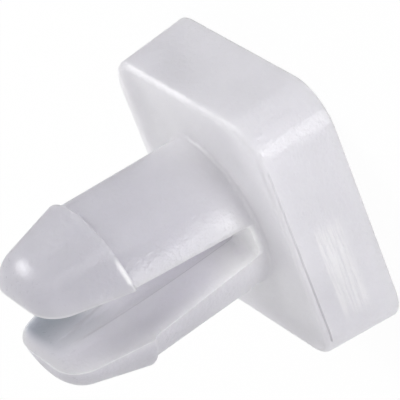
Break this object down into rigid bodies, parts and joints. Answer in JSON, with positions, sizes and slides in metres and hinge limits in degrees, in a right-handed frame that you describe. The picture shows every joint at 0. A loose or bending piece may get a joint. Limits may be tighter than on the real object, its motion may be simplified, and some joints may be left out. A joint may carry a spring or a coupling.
{
  "type": "plastic split rivet",
  "caption": "Translucent nylon snap-in rivet: a thick square head on a round shank, split into barbed legs with a bullet nose",
  "frame": {"origin": "centre of the head's outer face, which is the face that the rivet stands on", "axes": "+Z runs from the head up the shank to the nose. X and Y run square to the head's sides. The slit lies in the plane Y = 0 and opens at +X and -X, so the two legs are at +Y and -Y"},
  "size_m": [0.0084, 0.0084, 0.0091],
  "materials": {
    "natural_nylon": "natural translucent nylon as moulded: semi-gloss, milky grey-white, brighter at thin edges, faint drag marks on one side of the head"
  },
  "bodies": {
    "root": {"rivet_body": "natural_nylon"}
  },
  "joints": []
}
